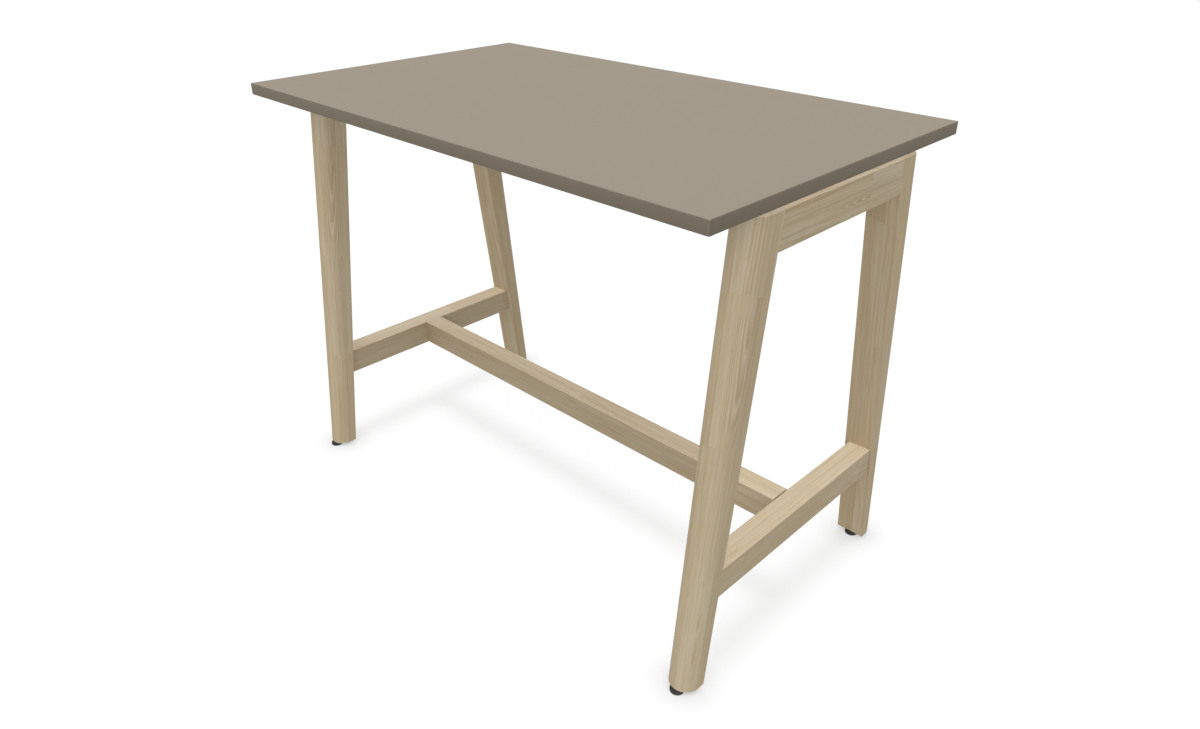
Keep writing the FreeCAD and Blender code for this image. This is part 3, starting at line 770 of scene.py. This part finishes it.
def top_screws(side, material):
    """Three M8 screws with a hexagon socket in the head, which points down."""
    node = "top_screws_" + side
    low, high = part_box(node)
    foot, head, tip = low[2], low[2] + HEAD_HEIGHT, high[2]
    rings = [
        (foot + SOCKET_DEPTH, hexagon(SOCKET_FLATS)),
        (foot + SOCKET_CHAMFER, hexagon(SOCKET_FLATS)),
        (foot, even(SOCKET_MOUTH)),
        (foot, even(HEAD_RADIUS - HEAD_CHAMFER)),
        (foot + HEAD_CHAMFER, even(HEAD_RADIUS)),
        (head, even(HEAD_RADIUS)),
        (head, even(M8_RADIUS)),
        (tip - SCREW_THREAD, even(M8_RADIUS)),
        *thread(tip - SCREW_THREAD, tip - M8_CHAMFER),
        *m8_tip(tip),
    ]
    x = (low[0] + high[0]) / 2
    places = (low[1] + HEAD_RADIUS, (low[1] + high[1]) / 2, high[1] - HEAD_RADIUS)
    bars = [(Vector((x, y, 0.0)), UPRIGHT, rings) for y in places]
    turned("socket_" + node, node, material, "zinc_steel", *bars)


def stretcher_bolts(material):
    """A hanger bolt at each end: M8 thread in the stretcher's pocket, wood thread in the rail."""
    node = "stretcher_bolts"
    low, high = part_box(node)
    bars = []
    for side, rail in ((-1.0, "foot_rail_left"), (1.0, "foot_rail_right")):
        points = [point.co.x * side for point in nodes[node].data.vertices]
        reach = [x for x in points if x > 0.0]
        start, end = min(reach), max(reach)
        rail_face = min(abs(corner[0]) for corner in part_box(rail))
        rings = [
            (start, even(M8_TIP)),
            (start + M8_CHAMFER, even(M8_RADIUS - M8_CUT / 2)),
            *thread(start + M8_CHAMFER, rail_face - BOLT_PLAIN),
            (rail_face - BOLT_PLAIN, even(M8_RADIUS)),
            (rail_face, even(M8_RADIUS)),
            *thread(rail_face, end - WOOD_TIP, M8_RADIUS, WOOD_PITCH, WOOD_CUT),
            (end - WOOD_TIP, even(M8_RADIUS - WOOD_CUT)),
            (end, even(WOOD_POINT)),
        ]
        origin = Vector((0.0, (low[1] + high[1]) / 2, (low[2] + high[2]) / 2))
        bars.append((origin, (Y_AXIS, Z_AXIS * side, X_AXIS * side), rings))
    turned("threaded_" + node, node, material, "zinc_steel", *bars)


stem_finish = black_steel()
stems = [levelling_stem(corner, stem_finish) for corner in CORNERS]
for side in SIDES:
    top_screws(side, plated)
stretcher_bolts(plated)


FLOOR_TONE = 0.10
FLOOR_SPECK = {"scale": 60.0, "detail": 3.0}
FLOOR_SPECK_LIGHT = 1.03
FLOOR_ROUGH = 0.9
FLOOR_GLOW = 0.79
FLOOR_REACH = 30.0
FLOOR_BEND = 15.0
FLOOR_WALL = 25.0
FLOOR_TURNS = 96
BEND_STEPS = 24
PAINTED_SHADOW_REACH = 0.075
PAINTED_SHADOW_SHARE = 0.66
PAINTED_SHADOW_SAMPLES = 4
STANDING_PAD = "foot_pad_front_left"


def floor_finish():
    """Matt white, lit from within as a light table is, with painted contact shadow close to what
    stands on it.
    """
    g = Graph("studio_floor")
    speck = g.noise(g.place(), **FLOOR_SPECK)
    base = g.mix(speck, (FLOOR_TONE,) * 3 + (1.0,), (FLOOR_TONE * FLOOR_SPECK_LIGHT,) * 3 + (1.0,))
    g.finish(base, FLOOR_ROUGH, specular_ior_level=0.0, emission_color=(*WHITE, 1.0))
    # Painted contact shadow: the glow dims where the floor is occluded close by.
    painted_shadow = g.add(
        "ShaderNodeAmbientOcclusion", {"Distance": PAINTED_SHADOW_REACH}, samples=PAINTED_SHADOW_SAMPLES
    ).outputs["AO"]
    least = FLOOR_GLOW * (1.0 - PAINTED_SHADOW_SHARE)
    glow = g.between(painted_shadow, 0.0, 1.0, least, FLOOR_GLOW, smooth=False)
    rise = g.separate(g.place())["Z"]
    glow = g.math("ADD", glow, g.between(rise, 0.0, FLOOR_BEND, 0.0, 1.0 - FLOOR_GLOW))
    g.feed(g.shader.inputs["Emission Strength"], glow)
    return g.material


def floor():
    """A plain round studio floor that bends up into a wall.

    It stays under one foot pad, so the table is seen to rise when its feet are screwed out.
    """
    profile = [(FLOOR_REACH, 0.0)]
    for step in range(1, BEND_STEPS + 1):
        turn = math.pi / 2 * step / BEND_STEPS
        out, up = FLOOR_BEND * math.sin(turn), FLOOR_BEND * (1.0 - math.cos(turn))
        profile.append((FLOOR_REACH + out, up))
    profile.append((FLOOR_REACH + FLOOR_BEND, FLOOR_BEND + FLOOR_WALL))
    turns = [math.tau * turn / FLOOR_TURNS for turn in range(FLOOR_TURNS)]
    points = [
        (radius * math.cos(turn), radius * math.sin(turn), z)
        for radius, z in profile for turn in turns
    ]
    faces = [tuple(range(FLOOR_TURNS))]
    for level in range(len(profile) - 1):
        low, high = level * FLOOR_TURNS, (level + 1) * FLOOR_TURNS
        for turn in range(FLOOR_TURNS):
            after = (turn + 1) % FLOOR_TURNS
            faces.append((low + turn, high + turn, high + after, low + after))
    mesh = bpy.data.meshes.new("studio_floor")
    mesh.from_pydata(points, [], faces)
    mesh.shade_smooth()
    mesh.materials.append(floor_finish())
    plane = bpy.data.objects.new("studio_floor", mesh)
    bpy.context.scene.collection.objects.link(plane)
    plane.visible_diffuse = False
    plane.visible_glossy = False
    plane.visible_shadow = False
    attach(plane, body_of(nodes[STANDING_PAD])[0])
    return plane


# The overhead light reaches the lower frame past the table top and the legs, as in the photograph,
# whose floor shows shadows of the foot rails, stretcher and feet only. The rails' key lights the
# strip of the top rails' upper faces that shows below the table top.
SHADOW_NODES = [*each("foot_rail", SIDES), "stretcher", *each("foot_pad", CORNERS)]
OVERHEAD_TILT = (math.radians(2.1), math.radians(1.1), 0.0)
KEY_SHARE = 0.645
KEY_WIDTH = math.radians(30.0)
KEY_TINT = (0.96, 0.985, 1.03)
RAIL_SHARE = 0.30
FLOOR_SHARE = 1.18
FLOOR_WIDTH = math.radians(22.0)
SKY_LOW = 0.32
SKY_HIGH = 0.945
SKY_START = 0.08
SKY_TOWARDS = Vector((0.35, -0.90, 0.77)).normalized()
SKY_TINT = (1.0, 0.985, 0.90, 1.0)
SKY_HORIZON = 0.04
BOUNCE_SHARE = 0.54


def sky():
    """Soft light all round, strongest over the front, and the floor's even bounce from below."""
    world = bpy.data.worlds.new("studio")
    bpy.context.scene.world = world
    world.use_nodes = True
    tree = world.node_tree
    links = tree.links

    def ramp(value, low, high, to_low, to_high):
        node = tree.nodes.new("ShaderNodeMapRange")
        node.interpolation_type = "SMOOTHSTEP"
        links.new(value, node.inputs["Value"])
        for key, setting in (("From Min", low), ("From Max", high), ("To Max", to_high)):
            node.inputs[key].default_value = setting
        if isinstance(to_low, bpy.types.NodeSocket):
            links.new(to_low, node.inputs["To Min"])
        else:
            node.inputs["To Min"].default_value = to_low
        return node.outputs["Result"]

    ray = tree.nodes.new("ShaderNodeTexCoord").outputs["Generated"]
    facing = tree.nodes.new("ShaderNodeVectorMath")
    facing.operation = "DOT_PRODUCT"
    facing.inputs[1].default_value = SKY_TOWARDS
    links.new(ray, facing.inputs[0])
    height = tree.nodes.new("ShaderNodeSeparateXYZ")
    links.new(ray, height.inputs[0])
    above = ramp(facing.outputs["Value"], SKY_START, 1.0, SKY_LOW, SKY_HIGH)
    whole = ramp(height.outputs["Z"], SKY_HORIZON, -SKY_HORIZON, above, BOUNCE_SHARE)
    background = tree.nodes["Background"]
    links.new(whole, background.inputs["Strength"])
    background.inputs["Color"].default_value = SKY_TINT


def group(name, members):
    """A collection for light linking."""
    collection = bpy.data.collections.new(name)
    for member in members:
        collection.objects.link(member)
    return collection


def overhead(name, share, width, tint, blockers, receivers=None):
    """A wide light straight above, which only some of the pieces block or receive."""
    light = bpy.data.objects.new(name, bpy.data.lights.new(name, "SUN"))
    light.data.energy = share * math.pi
    light.data.color = tint
    light.data.angle = width
    light.rotation_euler = OVERHEAD_TILT
    bpy.context.scene.collection.objects.link(light)
    light.light_linking.blocker_collection = blockers
    if receivers:
        light.light_linking.receiver_collection = receivers


# The photograph's camera, solved from the table's own edges.
CAMERA_PLACE = (1.4346, -1.40359, 1.48721)
CAMERA_DOWN = math.radians(28.991)
CAMERA_AZIMUTH = math.radians(44.01)
CAMERA_LENS = 26.4218
CAMERA_SENSOR = 36.0
CAMERA_REACH = 200.0


def camera():
    eye = bpy.data.objects.new("camera", bpy.data.cameras.new("camera"))
    eye.location = CAMERA_PLACE
    eye.rotation_euler = (math.pi / 2 - CAMERA_DOWN, 0.0, CAMERA_AZIMUTH)
    eye.data.sensor_fit = "HORIZONTAL"
    eye.data.sensor_width = CAMERA_SENSOR
    eye.data.lens = CAMERA_LENS
    eye.data.clip_end = CAMERA_REACH
    bpy.context.scene.collection.objects.link(eye)
    bpy.context.scene.camera = eye


plane = floor()
sky()
shadowing = group("shadowing", [*stems, *(nodes[name] for name in SHADOW_NODES)])
floor_only = group("floor_only", [plane])
top_rails = group("top_rails", [nodes[name] for name in each("top_rail", SIDES)])
overhead("key", KEY_SHARE, KEY_WIDTH, KEY_TINT, shadowing)
overhead("floor_key", FLOOR_SHARE, FLOOR_WIDTH, WHITE, shadowing, floor_only)
overhead("rail_key", RAIL_SHARE, KEY_WIDTH, KEY_TINT, shadowing, top_rails)
camera()
bpy.context.scene.view_settings.view_transform = "Standard"
bpy.context.view_layer.update()
